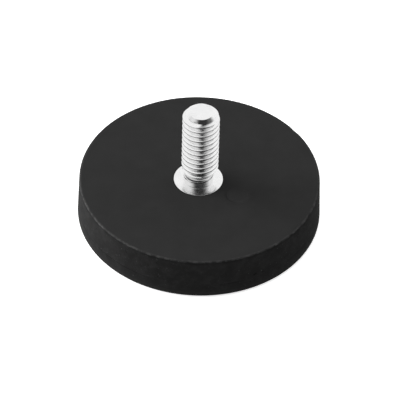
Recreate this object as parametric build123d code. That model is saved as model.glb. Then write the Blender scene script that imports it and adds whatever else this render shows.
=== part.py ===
from build123d import *

import os
from math import cos, pi, sin, tan

# Rubber-coated round magnet with a fixed male stud. All sizes in millimetres.
# Frame: origin at the centre of the contact face, +Z up along the stud.

# Rubber jacket: a low disc, widest just above its rounded contact edge
JACKET_HEIGHT = 7.55
JACKET_TOP_DIAMETER = 39.15
JACKET_BASE_DIAMETER = 39.7
JACKET_BASE_ROUND = 0.5
JACKET_TOP_ROUND = 0.2
SKIN_UNDER_MAGNETS = 0.75

# Mould parting line round the wall
PARTING_HEIGHT = 2.55
PARTING_DEPTH = 0.08
PARTING_WIDTH = 0.24

# Magnets: discs with alternating poles, in a ring under the yoke
MAGNET_COUNT = 8
MAGNET_DIAMETER = 9.0
MAGNET_THICKNESS = 3.0
MAGNET_CIRCLE_DIAMETER = 26.0
MAGNET_EDGE = 0.25

# Yoke: the steel disc that joins the magnets' back faces and carries the stud
YOKE_DIAMETER = 36.0
YOKE_THICKNESS = 2.0
YOKE_EDGE = 0.2

# Stud: one turned piece, riveted into the yoke
COLLAR_DIAMETER = 8.0
SPIGOT_DIAMETER = 5.0
RIVET_DIAMETER = 6.6
RIVET_HEIGHT = 0.8
NECK_DIAMETER = 4.85
STUD_LENGTH = 14.7
TIP_FACE_DIAMETER = 3.9

# Thread: M6 x 1, right hand
THREAD_DIAMETER = 6.0
THREAD_PITCH = 1.0
THREAD_ROOT_DIAMETER = 4.72
THREAD_CREST_WIDTH = THREAD_PITCH / 8
THREAD_HALF_ANGLE = 30 * pi / 180
THREAD_START = 3.1
THREAD_RUN_OUT = 0.9
THREAD_START_ANGLE = 241.2

# Levels above the contact face
MAGNET_BASE = SKIN_UNDER_MAGNETS
YOKE_BASE = MAGNET_BASE + MAGNET_THICKNESS
YOKE_TOP = YOKE_BASE + YOKE_THICKNESS
STUD_TIP = JACKET_HEIGHT + STUD_LENGTH


def turned(outline):
    """A solid of revolution about Z from an outline of edges in the XZ plane."""
    return revolve(make_face(outline), Axis.Z)


def closed_profile(points):
    """A turned solid from straight runs through (radius, height) points."""
    return turned(Polyline([(r, 0, z) for r, z in points], close=True))


def make_yoke():
    hole = SPIGOT_DIAMETER / 2
    sink = RIVET_DIAMETER / 2
    rim = YOKE_DIAMETER / 2
    return closed_profile(
        [
            (sink, YOKE_BASE),
            (rim - YOKE_EDGE, YOKE_BASE),
            (rim, YOKE_BASE + YOKE_EDGE),
            (rim, YOKE_TOP - YOKE_EDGE),
            (rim - YOKE_EDGE, YOKE_TOP),
            (hole, YOKE_TOP),
            (hole, YOKE_BASE + RIVET_HEIGHT),
        ]
    )


def make_magnet(index):
    """One nickel-plated disc magnet, with broken edges, at its place in the ring."""
    angle = 2 * pi * index / MAGNET_COUNT
    x = MAGNET_CIRCLE_DIAMETER / 2 * cos(angle)
    y = MAGNET_CIRCLE_DIAMETER / 2 * sin(angle)
    disc = Cylinder(
        MAGNET_DIAMETER / 2,
        MAGNET_THICKNESS,
        align=(Align.CENTER, Align.CENTER, Align.MIN),
    )
    disc = chamfer(disc.edges().filter_by(GeomType.CIRCLE), MAGNET_EDGE)
    return Pos(x, y, MAGNET_BASE) * disc


def make_stud_blank(shank_top):
    """The stud as turned, with a plain shank: rivet head, spigot, collar, neck, shank."""
    shank = THREAD_DIAMETER / 2
    neck = NECK_DIAMETER / 2
    thread_base = JACKET_HEIGHT + THREAD_START
    return closed_profile(
        [
            (0, YOKE_BASE),
            (RIVET_DIAMETER / 2, YOKE_BASE),
            (SPIGOT_DIAMETER / 2, YOKE_BASE + RIVET_HEIGHT),
            (SPIGOT_DIAMETER / 2, YOKE_TOP),
            (COLLAR_DIAMETER / 2, YOKE_TOP),
            (COLLAR_DIAMETER / 2, JACKET_HEIGHT),
            (neck, JACKET_HEIGHT),
            (neck, thread_base),
            (shank, thread_base + (shank - neck) / 2),
            (shank, shank_top),
            (0, shank_top),
        ]
    )


def make_thread_groove(top):
    """The helical vee that a die cuts, from the neck's upper end to the given height."""
    root = THREAD_ROOT_DIAMETER / 2
    crest = THREAD_DIAMETER / 2
    lip = 0.06  # how far the flanks run on past the crests, so that they cut clean
    outside = 0.4  # how far the tool's back stands clear of the crests
    half_crest = (THREAD_PITCH - THREAD_CREST_WIDTH) / 2
    half_root = half_crest - (crest - root) * tan(THREAD_HALF_ANGLE)
    half_lip = half_crest + lip * tan(THREAD_HALF_ANGLE)
    section = [
        (root, -half_root),
        (crest + lip, -half_lip),
        (crest + outside, -half_lip),
        (crest + outside, half_lip),
        (crest + lip, half_lip),
        (root, half_root),
    ]
    base = JACKET_HEIGHT + THREAD_START - THREAD_RUN_OUT
    path = Helix(THREAD_PITCH, top - base, crest)
    vee = make_face(Polyline([(r, 0, z) for r, z in section], close=True))
    groove = sweep(vee, path=path, is_frenet=True)
    return Pos(0, 0, base) * Rot(0, 0, THREAD_START_ANGLE) * groove


def make_stud():
    """The turned stud with its thread cut, then faced to length with a 45 degree tip."""
    waste = 2 * THREAD_PITCH
    stud = make_stud_blank(STUD_TIP + waste) - make_thread_groove(STUD_TIP + waste / 2)
    tip = TIP_FACE_DIAMETER / 2
    clear = COLLAR_DIAMETER  # a radius well outside all that is kept
    envelope = closed_profile(
        [
            (0, 0),
            (clear, 0),
            (clear, STUD_TIP - (clear - tip)),
            (tip, STUD_TIP),
            (0, STUD_TIP),
        ]
    )
    stud = stud & envelope
    if len(stud.solids()) != 1 or not stud.is_valid:
        raise ValueError("the stud's thread or tip didn't cut clean")
    return stud


def make_jacket_body():
    """The moulded outline, with a fine vee where the mould halves meet."""
    base = JACKET_BASE_DIAMETER / 2
    top = JACKET_TOP_DIAMETER / 2
    slope = (base - top) / JACKET_HEIGHT

    def wall(height):
        return base - slope * height

    half_vee = PARTING_WIDTH / 2
    body = closed_profile(
        [
            (0, 0),
            (base, 0),
            (wall(PARTING_HEIGHT - half_vee), PARTING_HEIGHT - half_vee),
            (wall(PARTING_HEIGHT) - PARTING_DEPTH, PARTING_HEIGHT),
            (wall(PARTING_HEIGHT + half_vee), PARTING_HEIGHT + half_vee),
            (top, JACKET_HEIGHT),
            (0, JACKET_HEIGHT),
        ]
    )
    rings = body.edges().filter_by(GeomType.CIRCLE).sort_by(Axis.Z)
    body = fillet(rings[0], JACKET_BASE_ROUND)
    rings = body.edges().filter_by(GeomType.CIRCLE).sort_by(Axis.Z)
    return fillet(rings[-1], JACKET_TOP_ROUND)


def write(node, shape):
    export_step(shape, f"parts/{node}.step")


def main():
    os.makedirs("parts", exist_ok=True)
    yoke = make_yoke()
    magnets = [make_magnet(index) for index in range(MAGNET_COUNT)]
    stud = make_stud()
    jacket = make_jacket_body() - yoke - make_stud_blank(STUD_TIP)
    for magnet in magnets:
        jacket -= magnet
    write("rubber_jacket", jacket)
    write("yoke_disc", yoke)
    write("threaded_stud", stud)
    for index, magnet in enumerate(magnets):
        write(f"magnet_{index + 1}", magnet)


main()
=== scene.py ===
import math

import bmesh
import bpy
from mathutils import Matrix, Vector, noise


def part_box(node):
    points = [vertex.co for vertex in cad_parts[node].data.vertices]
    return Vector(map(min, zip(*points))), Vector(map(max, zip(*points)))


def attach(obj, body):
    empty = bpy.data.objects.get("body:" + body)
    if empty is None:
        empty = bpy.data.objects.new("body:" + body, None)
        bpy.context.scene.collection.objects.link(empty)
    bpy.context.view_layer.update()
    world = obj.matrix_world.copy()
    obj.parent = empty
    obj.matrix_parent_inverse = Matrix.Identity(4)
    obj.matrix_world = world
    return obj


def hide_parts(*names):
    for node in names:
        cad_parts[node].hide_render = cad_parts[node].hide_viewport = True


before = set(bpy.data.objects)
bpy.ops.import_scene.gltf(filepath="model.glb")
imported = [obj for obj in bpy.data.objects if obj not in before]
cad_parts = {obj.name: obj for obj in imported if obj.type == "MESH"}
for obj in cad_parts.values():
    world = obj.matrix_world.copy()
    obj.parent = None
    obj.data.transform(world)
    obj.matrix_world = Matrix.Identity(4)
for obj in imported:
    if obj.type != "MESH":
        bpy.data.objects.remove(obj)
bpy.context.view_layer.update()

MM = 0.001

# ---------------------------------------------------------------- from the frame
JACKET_LOW, JACKET_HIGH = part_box("rubber_jacket")
STUD_LOW, STUD_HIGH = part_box("threaded_stud")
YOKE_LOW, YOKE_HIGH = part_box("yoke_disc")
MAGNET_LOW, MAGNET_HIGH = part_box("magnet_1")
MAGNET_NODES = sorted(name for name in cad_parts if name.startswith("magnet_"))

RUBBER_TOP = JACKET_HIGH.z / MM
WIDEST_RADIUS = JACKET_HIGH.x / MM
COLLAR_RADIUS = STUD_HIGH.x / MM
TIP_HEIGHT = STUD_HIGH.z / MM
RIVET_BASE = STUD_LOW.z / MM
YOKE_TOP = YOKE_HIGH.z / MM
YOKE_BASE = YOKE_LOW.z / MM
YOKE_RADIUS = YOKE_HIGH.x / MM
MAGNET_BASE = MAGNET_LOW.z / MM
MAGNET_RADIUS = (MAGNET_HIGH.x - MAGNET_LOW.x) / 2 / MM
MAGNET_CIRCLE_RADIUS = (MAGNET_HIGH.x + MAGNET_LOW.x) / 2 / MM

# ---------------------------------------------------------------- sizes, in millimetres
TOP_RADIUS = 19.575
BASE_RADIUS = 19.85
BASE_ROUND = 0.5
TOP_ROUND = 0.2
HOLE_ROUND = 0.08
PARTING_HEIGHT = 2.55
PARTING_DEPTH = 0.08
PARTING_HALF_WIDTH = 0.12
YOKE_EDGE = 0.2
MAGNET_EDGE = 0.25

SPIGOT_RADIUS = 2.5
RIVET_RADIUS = 3.3
RIVET_HEIGHT = 0.8
COLLAR_ROUND = 0.06
NECK_RADIUS = 2.425
NECK_FILLET = 0.04
NECK_FOOT = 0.15  # below this height the neck has level rings, above it rows along the helix
OFF_CENTRE = -0.19  # how far the collar and neck sit to one side of the thread, along X
FORWARD = -0.25  # how far the whole stud sits off the rubber's centre, along Y
OFF_CENTRE_LOW = 1.0
OFF_CENTRE_HIGH = 3.2
TIP_FACE_RADIUS = 1.95

THREAD_RADIUS = 3.0
THREAD_ROOT_RADIUS = 2.36
THREAD_PITCH = 1.0
THREAD_CREST_HALF = THREAD_PITCH / 16
THREAD_FRONT_CREST = 0.78  # height of a crest above the rubber at the front, modulo one pitch
CREST_FADE_LOW = 1.7
CREST_FADE_HIGH = 3.2
GROOVE_FADE_LOW = 0.3
GROOVE_FADE_HIGH = 1.3
GROOVE_LIFT = 0.1
TIP_FULL_CONE = 2.56  # radius up to which the tip's 45 degree chamfer is clean
TIP_SHOULDER_ROUND = 0.12
TIP_CREST_RISE = 0.6  # how fast rolling lifts the first crest above that chamfer


# ---------------------------------------------------------------- mesh helpers
def smooth_min(a, b, blend):
    h = max(blend - abs(a - b), 0.0) / blend
    return min(a, b) - h * h * blend / 4


def smooth_max(a, b, blend):
    return -smooth_min(-a, -b, blend)


def smooth_step(low, high, value):
    t = min(max((value - low) / (high - low), 0.0), 1.0)
    return t * t * (3 - 2 * t)


def arc(centre_r, centre_z, radius, start, end, steps):
    """Points on an arc in the (radius, height) plane. Angles are in degrees from +radius."""
    points = []
    for index in range(steps + 1):
        angle = math.radians(start + (end - start) * index / steps)
        points.append((centre_r + radius * math.cos(angle), centre_z + radius * math.sin(angle)))
    return points


def line(start, end, steps):
    """Points along a run in the (radius, height) plane, without the first one."""
    return [
        (
            start[0] + (end[0] - start[0]) * index / steps,
            start[1] + (end[1] - start[1]) * index / steps,
        )
        for index in range(1, steps + 1)
    ]


def add_ring(bm, radius, height, segments, centre=(0.0, 0.0)):
    return [
        bm.verts.new(
            (
                (centre[0] + radius * math.cos(2 * math.pi * index / segments)) * MM,
                (centre[1] + radius * math.sin(2 * math.pi * index / segments)) * MM,
                height * MM,
            )
        )
        for index in range(segments)
    ]


def bridge(bm, ring, other):
    count = len(ring)
    for index in range(count):
        after = (index + 1) % count
        bm.faces.new((ring[index], ring[after], other[after], other[index]))


def close_ring(bm, ring, height, centre_y=0.0):
    """A fan from a ring to a point at its centre."""
    pole = bm.verts.new((0, centre_y * MM, height * MM))
    for index, vert in enumerate(ring):
        bm.faces.new((vert, ring[(index + 1) % len(ring)], pole))


def add_turned_rows(bm, profile, segments):
    """One ring for each (radius, height) point, bridged in order."""
    rings = [add_ring(bm, radius, height, segments) for radius, height in profile]
    for ring, other in zip(rings, rings[1:]):
        bridge(bm, ring, other)
    return rings


def finish_object(bm, name, smooth_angle):
    bmesh.ops.recalc_face_normals(bm, faces=bm.faces)
    mesh = bpy.data.meshes.new(name)
    bm.to_mesh(mesh)
    bm.free()
    mesh.shade_smooth()
    mesh.set_sharp_from_angle(angle=math.radians(smooth_angle))
    obj = bpy.data.objects.new(name, mesh)
    bpy.context.scene.collection.objects.link(obj)
    return obj


# ---------------------------------------------------------------- rubber jacket
JACKET_SEGMENTS = 288
POCKET_SEGMENTS = 48
TOP_ROWS = 60
TOP_ROWS_BY_STUD = 40  # the rows, counted from the hole, that may follow the stud off centre
FOLLOW_FULLY = COLLAR_RADIUS + 0.5  # out to this radius the rubber follows all the way
FOLLOW_NOT = 2.5 * COLLAR_RADIUS  # and from this radius on not at all


def wall_radius(height):
    return BASE_RADIUS + (TOP_RADIUS - BASE_RADIUS) * height / RUBBER_TOP


def jacket_outside():
    """From the collar hole over the top, down the wall and in under the base."""
    top_inner = COLLAR_RADIUS + HOLE_ROUND
    draft = math.degrees(math.atan((BASE_RADIUS - TOP_RADIUS) / RUBBER_TOP))
    profile = arc(top_inner, RUBBER_TOP - HOLE_ROUND, HOLE_ROUND, 180, 90, 4)
    edge_centre = wall_radius(RUBBER_TOP) - TOP_ROUND
    profile += line(profile[-1], (edge_centre, RUBBER_TOP), TOP_ROWS)
    profile += arc(edge_centre, RUBBER_TOP - TOP_ROUND, TOP_ROUND, 90, draft, 6)[1:]
    above = PARTING_HEIGHT + PARTING_HALF_WIDTH
    below = PARTING_HEIGHT - PARTING_HALF_WIDTH
    profile += line(profile[-1], (wall_radius(above), above), 16)
    profile += line(profile[-1], (wall_radius(PARTING_HEIGHT) - PARTING_DEPTH, PARTING_HEIGHT), 3)
    profile += line(profile[-1], (wall_radius(below), below), 3)
    base_centre = WIDEST_RADIUS - BASE_ROUND
    profile += line(profile[-1], (WIDEST_RADIUS, BASE_ROUND), 9)
    profile += arc(base_centre, BASE_ROUND, BASE_ROUND, 0, -90, 8)[1:]
    profile += line(profile[-1], (1.0, 0.0), 24)
    return profile


def jacket_cavity():
    """From the collar hole down round the yoke, to the edge of the magnets' plane."""
    rim = YOKE_RADIUS
    return [
        (COLLAR_RADIUS, YOKE_TOP),
        (rim - YOKE_EDGE, YOKE_TOP),
        (rim, YOKE_TOP - YOKE_EDGE),
        (rim, YOKE_BASE + YOKE_EDGE),
        (rim - YOKE_EDGE, YOKE_BASE),
    ]


def add_pocket(bm, index):
    """The hollow that one magnet fills. Returns the ring of its mouth."""
    angle = 2 * math.pi * index / len(MAGNET_NODES)
    centre = (MAGNET_CIRCLE_RADIUS * math.cos(angle), MAGNET_CIRCLE_RADIUS * math.sin(angle))
    rows = [
        (MAGNET_RADIUS - MAGNET_EDGE, YOKE_BASE),
        (MAGNET_RADIUS, YOKE_BASE - MAGNET_EDGE),
        (MAGNET_RADIUS, MAGNET_BASE + MAGNET_EDGE),
        (MAGNET_RADIUS - MAGNET_EDGE, MAGNET_BASE),
    ]
    rings = [add_ring(bm, radius, height, POCKET_SEGMENTS, centre) for radius, height in rows]
    for ring, other in zip(rings, rings[1:]):
        bridge(bm, ring, other)
    bm.faces.new(rings[-1])
    return rings[0]


def ring_edges(bm, ring):
    return [bm.edges.get((vert, ring[(index + 1) % len(ring)])) for index, vert in enumerate(ring)]


SLOW_SINK = 0.028  # depth of the moulding's broad unevenness
FINE_SINK = 0.006  # and of its fine one
PIN_MARK_X = 6.2
PIN_MARK_Y = -3.8
PIN_MARK_RADIUS = 1.85
PIN_MARK_DEPTH = 0.05

# Small knocks in the wall: azimuth from the front in degrees, height, radius and depth
NICKS = ((54.7, 7.4, 0.55, 0.12), (34.5, 6.3, 0.5, 0.07), (-49.0, 3.6, 0.5, 0.05), (128.0, 7.3, 0.6, 0.1))

# Where the parting line still shows: azimuth from the front, half-width in degrees, share of its depth
PARTING_CLEAR = ((-38, 16, 1.0), (-70, 8, 0.8), (17, 4, 0.9), (118, 22, 0.8), (-150, 14, 0.6))


def parting_share(azimuth):
    """How much of the parting line's depth is left at an azimuth in degrees from the front."""
    share = 0.12 + 0.25 * max(noise.noise(Vector((azimuth * 0.08, 3.0, 5.0))), 0.0)
    for centre, spread, depth in PARTING_CLEAR:
        away = (azimuth - centre + 180) % 360 - 180
        share = max(share, depth * math.exp(-((away / spread) ** 2)))
    return share


def moulded_sink(point):
    """How far the moulded surface lies inside the nominal one, in millimetres."""
    x, y, z = point / MM
    slow = 0.5 + 0.5 * noise.noise(Vector((x * 0.16, y * 0.16, z * 0.3 + 7.0)))
    fine = 0.5 + 0.5 * noise.noise(Vector((x * 0.9, y * 0.9, z * 0.9 + 31.0)))
    sink = SLOW_SINK * slow + FINE_SINK * fine
    if abs(z - PARTING_HEIGHT) < PARTING_HALF_WIDTH:
        near_line = 1 - abs(z - PARTING_HEIGHT) / PARTING_HALF_WIDTH
        azimuth = math.degrees(math.atan2(x, -y))
        sink -= PARTING_DEPTH * near_line * (1 - parting_share(azimuth))
    if z > RUBBER_TOP - 0.01:
        away = math.hypot(x - PIN_MARK_X, y - PIN_MARK_Y)
        sink += PIN_MARK_DEPTH * (1 - smooth_step(PIN_MARK_RADIUS - 0.3, PIN_MARK_RADIUS + 0.15, away))
    for turn, height, size, depth in NICKS:
        angle = math.radians(turn)
        place = Vector((WIDEST_RADIUS * math.sin(angle), -WIDEST_RADIUS * math.cos(angle), height))
        sink += depth * math.exp(-(((Vector((x, y, z)) - place).length / size) ** 2))
    return sink


def make_jacket():
    bm = bmesh.new()
    outside = add_turned_rows(bm, jacket_outside(), JACKET_SEGMENTS)
    close_ring(bm, outside[-1], 0.0)
    bmesh.ops.recalc_face_normals(bm, faces=bm.faces)
    bm.normal_update()
    skin = [vert for ring in outside[1:] for vert in ring if vert.co.z > 0.05 * MM]
    shifts = [vert.normal * moulded_sink(vert.co) * MM for vert in skin]
    for vert, shift in zip(skin, shifts):
        vert.co -= shift
    cavity = add_turned_rows(bm, jacket_cavity(), JACKET_SEGMENTS)
    for vert in [vert for ring in outside[:TOP_ROWS_BY_STUD] + cavity[:1] for vert in ring]:
        share = 1 - smooth_step(FOLLOW_FULLY, FOLLOW_NOT, vert.co.xy.length / MM)
        vert.co.x += OFF_CENTRE * share * MM
        vert.co.y += FORWARD * share * MM
    bridge(bm, outside[0], cavity[0])
    rims = [cavity[-1]] + [add_pocket(bm, index) for index in range(len(MAGNET_NODES))]
    edges = [edge for ring in rims for edge in ring_edges(bm, ring)]
    bmesh.ops.triangle_fill(bm, use_beauty=True, edges=edges)
    return finish_object(bm, "jacket_moulding", 28)


# ---------------------------------------------------------------- threaded stud
STUD_SEGMENTS = 160
FRONT = -math.pi / 2


def thread_height_phase(angle, height):
    """Where a point lies in the thread's pitch, from -0.5 to 0.5, with a crest at 0."""
    rise = (angle - FRONT) / (2 * math.pi) * THREAD_PITCH
    turns = (height - THREAD_FRONT_CREST - rise) / THREAD_PITCH
    return turns - math.floor(turns + 0.5)


def thread_radius(phase):
    """The rounded 60 degree thread form."""
    from_crest = abs(phase) * THREAD_PITCH
    flank = THREAD_RADIUS - (from_crest - THREAD_CREST_HALF) / math.tan(math.radians(30))
    form = smooth_min(THREAD_RADIUS, flank, 0.05)
    return smooth_max(form, THREAD_ROOT_RADIUS, 0.12)


def crest_limit(height):
    """The largest radius at a height above the rubber: neck, fading crests, chamfered tip."""
    fade = smooth_step(CREST_FADE_LOW, CREST_FADE_HIGH, height)
    shank = NECK_RADIUS + (THREAD_RADIUS - NECK_RADIUS) * fade
    cone = TIP_FACE_RADIUS + TIP_HEIGHT - RUBBER_TOP - height
    rise = TIP_CREST_RISE * smooth_max(cone - TIP_FULL_CONE, 0.0, 0.06)
    return smooth_min(shank, cone + rise, TIP_SHOULDER_ROUND)


def stud_radius(angle, height):
    groove_fade = smooth_step(GROOVE_FADE_LOW, GROOVE_FADE_HIGH, height)
    thread = thread_radius(thread_height_phase(angle, height)) + GROOVE_LIFT * (1 - groove_fade)
    blend = 0.02 + 0.03 * (1 - smooth_step(CREST_FADE_LOW, CREST_FADE_HIGH, height))
    return smooth_min(crest_limit(height), thread, blend)


def pitch_rows():
    """Where rows of the mesh lie within one pitch: close at the crest and at the root."""
    half = [0.0, 0.03, 0.05, 0.0625, 0.08, 0.11, 0.17, 0.24, 0.31, 0.37, 0.41, 0.45]
    return [-value for value in reversed(half[1:])] + half + [0.5]


def off_centre(height):
    """How far the stud's centre lies along X at a height above the rubber."""
    return OFF_CENTRE * (1 - smooth_step(OFF_CENTRE_LOW, OFF_CENTRE_HIGH, height))


def add_threaded_shank(bm):
    """Rows of vertices that follow the helix, from the neck's foot to the tip."""
    rows_in_pitch = pitch_rows()
    per_pitch = len(rows_in_pitch)
    tip = TIP_HEIGHT - RUBBER_TOP
    first_turn = -2
    turns = math.ceil(tip / THREAD_PITCH) + 4
    columns = []
    for column in range(STUD_SEGMENTS):
        angle = 2 * math.pi * column / STUD_SEGMENTS
        rise = (angle - FRONT) / (2 * math.pi) * THREAD_PITCH
        verts = []
        for turn in range(turns):
            for place in rows_in_pitch:
                height = THREAD_FRONT_CREST + rise + (first_turn + turn + place) * THREAD_PITCH
                height = min(max(height, NECK_FOOT), tip)
                radius = stud_radius(angle, height)
                verts.append(
                    bm.verts.new(
                        (
                            (off_centre(height) + radius * math.cos(angle)) * MM,
                            (FORWARD + radius * math.sin(angle)) * MM,
                            (RUBBER_TOP + height) * MM,
                        )
                    )
                )
        columns.append(verts)
    rows = len(columns[0])
    for column in range(STUD_SEGMENTS):
        near = columns[column]
        last = column == STUD_SEGMENTS - 1
        far = columns[0] if last else columns[column + 1]
        shift = per_pitch if last else 0
        for row in range(rows - 1 - shift):
            bm.faces.new((near[row], far[row + shift], far[row + 1 + shift], near[row + 1]))
    bmesh.ops.remove_doubles(bm, verts=bm.verts, dist=1e-4 * MM)
    bmesh.ops.dissolve_degenerate(bm, dist=1e-5 * MM, edges=bm.edges)


def end_ring(bm, height, centre_x):
    """The ring of vertices at a height above the rubber, in order of angle from +X."""
    level = (RUBBER_TOP + height) * MM
    found = [vert for vert in bm.verts if vert.link_faces and abs(vert.co.z - level) < 1e-4 * MM]
    if len(found) != STUD_SEGMENTS:
        raise ValueError(f"{len(found)} vertices in the stud's ring at {height} mm")
    half_step = math.pi / STUD_SEGMENTS

    def turn(vert):
        angle = math.atan2(vert.co.y - FORWARD * MM, vert.co.x - centre_x * MM)
        return (angle + half_step) % (2 * math.pi)

    return sorted(found, key=turn)


def make_stud():
    bm = bmesh.new()
    add_threaded_shank(bm)
    tip_ring = end_ring(bm, TIP_HEIGHT - RUBBER_TOP, 0.0)
    neck_ring = end_ring(bm, NECK_FOOT, OFF_CENTRE)
    loose = [vert for vert in bm.verts if not vert.link_faces]
    bmesh.ops.delete(bm, geom=loose, context="VERTS")
    previous = tip_ring
    for share in (0.97, 0.85, 0.6, 0.3, 0.1):
        ring = add_ring(bm, TIP_FACE_RADIUS * share, TIP_HEIGHT, STUD_SEGMENTS, (0.0, FORWARD))
        bridge(bm, previous, ring)
        previous = ring
    close_ring(bm, previous, TIP_HEIGHT, FORWARD)
    edge = COLLAR_RADIUS - COLLAR_ROUND
    below = [(NECK_RADIUS, RUBBER_TOP + 2 * NECK_FILLET)]
    below += arc(NECK_RADIUS + NECK_FILLET, RUBBER_TOP + NECK_FILLET, NECK_FILLET, 180, 270, 5)
    below += line(below[-1], (edge, RUBBER_TOP), 8)
    below += arc(edge, RUBBER_TOP - COLLAR_ROUND, COLLAR_ROUND, 90, 0, 4)[1:]
    below += [(COLLAR_RADIUS, YOKE_TOP)]
    in_yoke = [
        (SPIGOT_RADIUS, YOKE_TOP),
        (SPIGOT_RADIUS, RIVET_BASE + RIVET_HEIGHT),
        (RIVET_RADIUS, RIVET_BASE),
        (RIVET_RADIUS / 2, RIVET_BASE),
    ]
    rings = add_turned_rows(bm, below + in_yoke, STUD_SEGMENTS)
    neck_and_collar = rings[: len(below)]
    for vert in [vert for ring in neck_and_collar for vert in ring]:
        vert.co.x += OFF_CENTRE * MM
        vert.co.y += FORWARD * MM
    bridge(bm, neck_ring, rings[0])
    close_ring(bm, rings[-1], RIVET_BASE)
    return finish_object(bm, "stud_turning", 35)


# ---------------------------------------------------------------- materials
class Shader:
    """A material's node tree, with short calls to add and join nodes."""

    def __init__(self, name):
        self.material = bpy.data.materials.new(name)
        self.material.use_nodes = True
        self.tree = self.material.node_tree
        self.surface = self.tree.nodes["Principled BSDF"]
        self.place = self.add("ShaderNodeTexCoord").outputs["Object"]

    def add(self, kind, values=None, **settings):
        node = self.tree.nodes.new(kind)
        for key, value in settings.items():
            setattr(node, key, value)
        for key, value in (values or {}).items():
            self.give(node.inputs[key], value)
        return node

    def give(self, socket, value):
        if isinstance(value, bpy.types.NodeSocket):
            self.tree.links.new(value, socket)
        else:
            socket.default_value = value

    def noise(self, size_mm, detail=3.0, rough=0.5, place=None):
        """Noise with features of about this size, from 0 to 1."""
        values = {
            "Vector": place or self.place,
            "Scale": 1 / (size_mm * MM),
            "Detail": detail,
            "Roughness": rough,
        }
        return self.add("ShaderNodeTexNoise", values).outputs["Fac"]

    def math(self, operation, a, b=0.0, c=0.0):
        node = self.add("ShaderNodeMath", operation=operation)
        for socket, value in zip(node.inputs, (a, b, c)):
            self.give(socket, value)
        return node.outputs[0]

    def span(self, value, low, high, to_low, to_high, smooth=False):
        """Maps low..high of a value to to_low..to_high, held at both ends."""
        kind = "SMOOTHSTEP" if smooth else "LINEAR"
        values = {
            "Value": value,
            "From Min": low,
            "From Max": high,
            "To Min": to_low,
            "To Max": to_high,
        }
        return self.add("ShaderNodeMapRange", values, interpolation_type=kind).outputs[0]

    def blend(self, share, dark, light):
        node = self.add("ShaderNodeMix", data_type="RGBA")
        self.give(node.inputs["Factor"], share)
        self.give(node.inputs["A"], dark)
        self.give(node.inputs["B"], light)
        return node.outputs["Result"]

    def bump(self, height, depth_mm, strength=1.0, normal=None):
        values = {"Height": height, "Distance": depth_mm * MM, "Strength": strength}
        if normal:
            values["Normal"] = normal
        return self.add("ShaderNodeBump", values).outputs["Normal"]

    def split(self):
        return self.add("ShaderNodeSeparateXYZ", {"Vector": self.place}).outputs

    def radius(self, centre_y=0.0):
        """Distance in metres from the upright axis through (0, centre_y)."""
        x, y, _ = self.split()
        y = self.math("SUBTRACT", y, centre_y * MM)
        return self.math("SQRT", self.math("ADD", self.math("MULTIPLY", x, x), self.math("MULTIPLY", y, y)))


def grey(value, alpha=1.0):
    return (value, value, value, alpha)


def wall_wear_and_painted_light(s, height, tone):
    """The wall's colour with handling wear (dull scuffs, dark blemishes and specks), a painted shade under
    the rim and a painted floor-bounce light along the base edge.
    """
    # Painted shade: a darker band just under the top's edge, where the rim shades the wall.
    painted_shade_under_rim = s.span(height, (RUBBER_TOP - 0.9) * MM, (RUBBER_TOP - 0.35) * MM, 0, 0.45, smooth=True)
    tone = s.blend(painted_shade_under_rim, tone, grey(0.004))
    # Painted light: the wall turns paler towards its base, standing in for light bounced up from the floor.
    painted_floor_bounce = s.span(height, 0.2 * MM, 2.2 * MM, 0.45, 0, smooth=True)
    tone = s.blend(painted_floor_bounce, tone, grey(0.022))
    scuffs = s.span(s.noise(1.3, 5.0, 0.65), 0.46, 0.66, 0, 0.5)
    tone = s.blend(scuffs, tone, grey(0.02))
    blemishes = s.span(s.noise(0.9, 4.0, 0.6), 0.36, 0.28, 0, 0.75)
    tone = s.blend(blemishes, tone, grey(0.003))
    specks = s.span(s.noise(0.3, 2.0, 0.5), 0.7, 0.76, 0, 0.6)
    return s.blend(specks, tone, grey(0.08))


def painted_rim_highlight(s, height, tone):
    """A paler, broken band along the rim between the top and the wall: a painted highlight."""
    near_edge = s.span(s.radius(), (TOP_RADIUS - 0.45) * MM, (TOP_RADIUS - 0.15) * MM, 0, 1, smooth=True)
    near_top = s.span(height, (RUBBER_TOP - 0.3) * MM, (RUBBER_TOP - 0.12) * MM, 0, 1, smooth=True)
    broken = s.span(s.noise(0.9, 4.0, 0.65), 0.42, 0.68, 0.12, 0.9)
    rim_highlight_share = s.math("MULTIPLY", s.math("MULTIPLY", near_edge, near_top), broken)
    return s.blend(rim_highlight_share, tone, grey(0.06))


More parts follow.
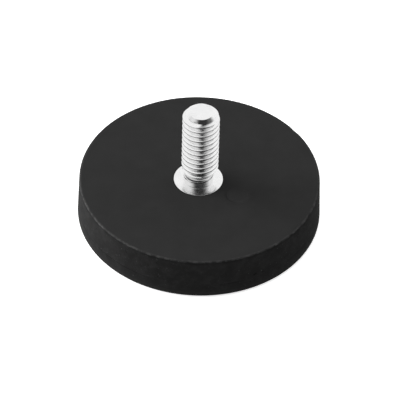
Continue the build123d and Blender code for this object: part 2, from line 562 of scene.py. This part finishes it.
def rubber_material():
    s = Shader("moulded_black_rubber")
    height = s.split()["Z"]
    on_top = s.span(height, (RUBBER_TOP - 0.12) * MM, (RUBBER_TOP - 0.03) * MM, 0, 1)
    cloud = s.noise(4.0, 4.0, 0.55)
    grain = s.noise(0.16, 2.0, 0.6)
    pores = s.add("ShaderNodeTexVoronoi", {"Vector": s.place, "Scale": 1 / (0.22 * MM)}).outputs["Distance"]
    # The top and the wall are lit and shaded copies of one rubber: the wall's darker tone is painted shade.
    lit_top_tone = s.blend(s.span(cloud, 0.3, 0.7, 0, 1), grey(0.0252), grey(0.0288))
    shaded_wall_tone = s.blend(s.span(cloud, 0.3, 0.7, 0, 1), grey(0.0098), grey(0.013))
    shaded_wall_tone = wall_wear_and_painted_light(s, height, shaded_wall_tone)
    tone = s.blend(on_top, shaded_wall_tone, lit_top_tone)
    dust = s.span(s.noise(0.5, 5.0, 0.7), 0.66, 0.8, 0, 0.3)
    tone = s.blend(dust, tone, grey(0.035))
    # The pin mark's disc is painted a lighter tone than the rubber round it.
    pin_centre = (PIN_MARK_X * MM, PIN_MARK_Y * MM, RUBBER_TOP * MM)
    pin_away = s.add("ShaderNodeVectorMath", {0: s.place, 1: pin_centre}, operation="DISTANCE")
    from_pin = pin_away.outputs["Value"]
    pin_low = (PIN_MARK_RADIUS - 0.2) * MM
    pin_share = s.span(from_pin, pin_low, PIN_MARK_RADIUS * MM, 0.7, 0, smooth=True)
    tone = s.blend(pin_share, tone, grey(0.034))
    # Painted highlight: a paler, broken band along the rim.
    tone = painted_rim_highlight(s, height, tone)
    s.give(s.surface.inputs["Base Color"], tone)
    s.give(s.surface.inputs["Roughness"], s.span(cloud, 0.25, 0.75, 0.78, 0.88))
    s.surface.inputs["Specular IOR Level"].default_value = 0.03
    coarse = s.bump(pores, 0.006, 0.5)
    s.give(s.surface.inputs["Normal"], s.bump(grain, 0.008, 0.6, coarse))
    return s.material


TURNING_FEED = 0.09  # distance between the fine marks that turning left on the metal


def zinc_material():
    s = Shader("bright_zinc_plate")
    radius = s.radius(FORWARD)
    height = s.split()["Z"]
    cloud = s.noise(1.2, 4.0, 0.6)
    speck = s.noise(0.12, 3.0, 0.6)
    tone = s.blend(s.span(cloud, 0.3, 0.7, 0, 1), grey(0.84), grey(0.9))
    tone = s.blend(s.span(speck, 0.58, 0.74, 0, 0.6), tone, grey(0.55))
    s.give(s.surface.inputs["Base Color"], tone)
    s.surface.inputs["Metallic"].default_value = 1.0
    on_collar = s.span(height, (RUBBER_TOP + 0.05) * MM, (RUBBER_TOP + 0.3) * MM, 0.03, 0)
    s.give(s.surface.inputs["Roughness"], s.math("ADD", s.span(cloud, 0.25, 0.75, 0.11, 0.17), on_collar))
    wave = 2 * math.pi / (TURNING_FEED * MM)
    rings = s.math("SINE", s.math("MULTIPLY", s.math("ADD", radius, height), wave))
    turned = s.bump(rings, 0.0008, 0.5)
    s.give(s.surface.inputs["Normal"], s.bump(speck, 0.005, 0.6, turned))
    return s.material


def bare_steel_material():
    s = Shader("pressed_steel")
    cloud = s.noise(3.0, 5.0, 0.6)
    stretched = s.add("ShaderNodeMapping", {"Vector": s.place, "Scale": (1.0, 0.06, 1.0)}).outputs[0]
    grain = s.noise(0.08, 3.0, 0.6, stretched)
    tone = s.blend(s.span(cloud, 0.3, 0.7, 0, 1), grey(0.42), grey(0.55))
    s.give(s.surface.inputs["Base Color"], tone)
    s.surface.inputs["Metallic"].default_value = 1.0
    s.give(s.surface.inputs["Roughness"], s.span(grain, 0.3, 0.7, 0.3, 0.45))
    s.give(s.surface.inputs["Normal"], s.bump(grain, 0.003, 0.5))
    return s.material


def nickel_material():
    s = Shader("nickel_plate")
    cloud = s.noise(1.5, 4.0, 0.55)
    pits = s.noise(0.1, 3.0, 0.6)
    tone = s.blend(s.span(cloud, 0.3, 0.7, 0, 1), (0.63, 0.61, 0.57, 1), (0.72, 0.7, 0.66, 1))
    s.give(s.surface.inputs["Base Color"], tone)
    s.surface.inputs["Metallic"].default_value = 1.0
    s.give(s.surface.inputs["Roughness"], s.span(cloud, 0.25, 0.75, 0.2, 0.32))
    s.give(s.surface.inputs["Normal"], s.bump(pits, 0.002, 0.5))
    return s.material


def floor_material():
    s = Shader("pale_floor")
    cloud = s.noise(30.0, 3.0, 0.5)
    s.give(s.surface.inputs["Base Color"], s.blend(cloud, grey(0.86), grey(0.88)))
    s.surface.inputs["Emission Color"].default_value = grey(1.0)
    s.surface.inputs["Emission Strength"].default_value = FLOOR_GLOW
    s.surface.inputs["Roughness"].default_value = 0.9
    s.surface.inputs["Specular IOR Level"].default_value = 0.1
    return s.material


def paint(obj, material):
    obj.data.materials.clear()
    obj.data.materials.append(material)


# ---------------------------------------------------------------- camera and light
DOME_STRENGTH = 1.0
FLOOR_GLOW = 0.72
FLOOR_GAP = 0.02  # keeps the floor from lying in the same plane as the contact face
GAP_STRENGTH = 0.035
KEY_POWER = 0.1
LEFT_POWER = 6.2
# The gap is a diamond on the front of the dome. Over a direction (x, y, z), 0.5 * (1 - z) - y is
# large on the front, and the distances of x and z from the diamond's middle, z's times its stretch,
# add up to less than its size inside it
GAP_WAY = (0.0, -1.0, -0.5)
GAP_LOWER_SPREAD = 0.5
GAP_EDGE_BRIGHT = 0.05
GAP_EDGE_DIM = 0.45
GAP_CENTRE_X = 0.13
GAP_CENTRE_Z = 0.3
GAP_NARROWING = 1.6
GAP_SIDE_DIM = 1.0
GAP_SIDE_BRIGHT = 1.45
CAMERA_ELEVATION = 43.88
CAMERA_ROLL = 1.6
CAMERA_DISTANCE = 584.9
CAMERA_LENS = 323.9
AIM = Vector((0.174, -2.425, RUBBER_TOP - 2.75))  # the point that the picture is centred on


def make_camera():
    data = bpy.data.cameras.new("camera")
    data.sensor_width = 36.0
    data.lens = CAMERA_LENS
    data.clip_start = 0.05
    camera = bpy.data.objects.new("camera", data)
    bpy.context.scene.collection.objects.link(camera)
    elevation = math.radians(CAMERA_ELEVATION)
    back = Vector((0, -math.cos(elevation), math.sin(elevation)))
    right = Vector((1, 0, 0))
    up = back.cross(right)
    facing = Matrix((right, up, back)).transposed().to_4x4()
    roll = Matrix.Rotation(math.radians(CAMERA_ROLL), 4, "Z")
    camera.matrix_world = Matrix.Translation((AIM + back * CAMERA_DISTANCE) * MM) @ facing @ roll
    bpy.context.scene.camera = camera


def add_softbox(name, direction, distance_mm, size_mm, power):
    """An area light that faces the origin from a direction."""
    data = bpy.data.lights.new(name, "AREA")
    data.shape = "RECTANGLE"
    data.size = size_mm[0] * MM
    data.size_y = size_mm[1] * MM
    data.energy = power
    light = bpy.data.objects.new(name, data)
    way = Vector(direction).normalized()
    light.location = way * distance_mm * MM
    light.rotation_mode = "QUATERNION"
    light.rotation_quaternion = way.to_track_quat("Z", "Y")
    light.visible_glossy = False
    bpy.context.scene.collection.objects.link(light)
    return light


def make_light():
    add_softbox("key_softbox", (-0.25, -0.23, 0.94), 320, (110, 110), KEY_POWER)
    add_softbox("left_softbox", (-0.94, 0.3, 0.12), 420, (300, 150), LEFT_POWER)
    make_dome()


def dome_fade(tree, value, low, high, at_low, at_high):
    """A smooth change from one number to another as a value goes from low to high."""
    fade = tree.nodes.new("ShaderNodeMapRange")
    fade.interpolation_type = "SMOOTHSTEP"
    fade.inputs["From Min"].default_value = low
    fade.inputs["From Max"].default_value = high
    fade.inputs["To Min"].default_value = at_low
    fade.inputs["To Max"].default_value = at_high
    tree.links.new(value, fade.inputs["Value"])
    return fade.outputs[0]


def dome_distance(tree, value, centre):
    """How far a value is from a centre, on either side."""
    aside = tree.nodes.new("ShaderNodeMath")
    aside.operation = "SUBTRACT"
    tree.links.new(value, aside.inputs[0])
    aside.inputs[1].default_value = centre
    away = tree.nodes.new("ShaderNodeMath")
    away.operation = "ABSOLUTE"
    tree.links.new(aside.outputs[0], away.inputs[0])
    return away.outputs[0]


def make_dome():
    """A bright dome with a dim gap on its front."""
    world = bpy.data.worlds.new("studio")
    world.use_nodes = True
    tree = world.node_tree
    direction = tree.nodes.new("ShaderNodeTexCoord").outputs["Generated"]
    towards_gap = tree.nodes.new("ShaderNodeVectorMath")
    towards_gap.operation = "DOT_PRODUCT"
    tree.links.new(direction, towards_gap.inputs[0])
    towards_gap.inputs[1].default_value = GAP_WAY
    low = tree.nodes.new("ShaderNodeMath")
    low.operation = "ADD"
    tree.links.new(towards_gap.outputs["Value"], low.inputs[0])
    low.inputs[1].default_value = GAP_LOWER_SPREAD
    tall = dome_fade(tree, low.outputs[0], GAP_EDGE_BRIGHT, GAP_EDGE_DIM, 0, 1)
    split = tree.nodes.new("ShaderNodeSeparateXYZ")
    tree.links.new(direction, split.inputs[0])
    away_x = dome_distance(tree, split.outputs["X"], GAP_CENTRE_X)
    away_z = dome_distance(tree, split.outputs["Z"], GAP_CENTRE_Z)
    narrowed = tree.nodes.new("ShaderNodeMath")
    narrowed.operation = "MULTIPLY_ADD"
    tree.links.new(away_z, narrowed.inputs[0])
    narrowed.inputs[1].default_value = GAP_NARROWING
    tree.links.new(away_x, narrowed.inputs[2])
    wide = dome_fade(tree, narrowed.outputs[0], GAP_SIDE_DIM, GAP_SIDE_BRIGHT, 1, 0)
    share = tree.nodes.new("ShaderNodeMath")
    share.operation = "MULTIPLY"
    tree.links.new(tall, share.inputs[0])
    tree.links.new(wide, share.inputs[1])
    strength = tree.nodes.new("ShaderNodeMapRange")
    strength.inputs["To Min"].default_value = DOME_STRENGTH
    strength.inputs["To Max"].default_value = GAP_STRENGTH
    tree.links.new(share.outputs[0], strength.inputs["Value"])
    background = tree.nodes["Background"]
    tree.links.new(strength.outputs[0], background.inputs["Strength"])
    background.inputs["Color"].default_value = grey(1.0)
    bpy.context.scene.world = world


def make_floor():
    bm = bmesh.new()
    bmesh.ops.create_grid(bm, x_segments=8, y_segments=8, size=4.0)
    floor = finish_object(bm, "floor", 30)
    floor.location.z = JACKET_LOW.z - FLOOR_GAP * MM
    paint(floor, floor_material())
    floor.visible_glossy = False


# ---------------------------------------------------------------- the object
def make_object():
    jacket = make_jacket()
    paint(jacket, rubber_material())
    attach(jacket, "root")
    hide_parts("rubber_jacket")
    stud = make_stud()
    paint(stud, zinc_material())
    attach(stud, "root")
    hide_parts("threaded_stud")
    paint(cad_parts["yoke_disc"], bare_steel_material())
    nickel = nickel_material()
    for name in MAGNET_NODES:
        paint(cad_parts[name], nickel)


make_camera()
make_light()
make_floor()
make_object()
bpy.context.scene.view_settings.view_transform = "Standard"
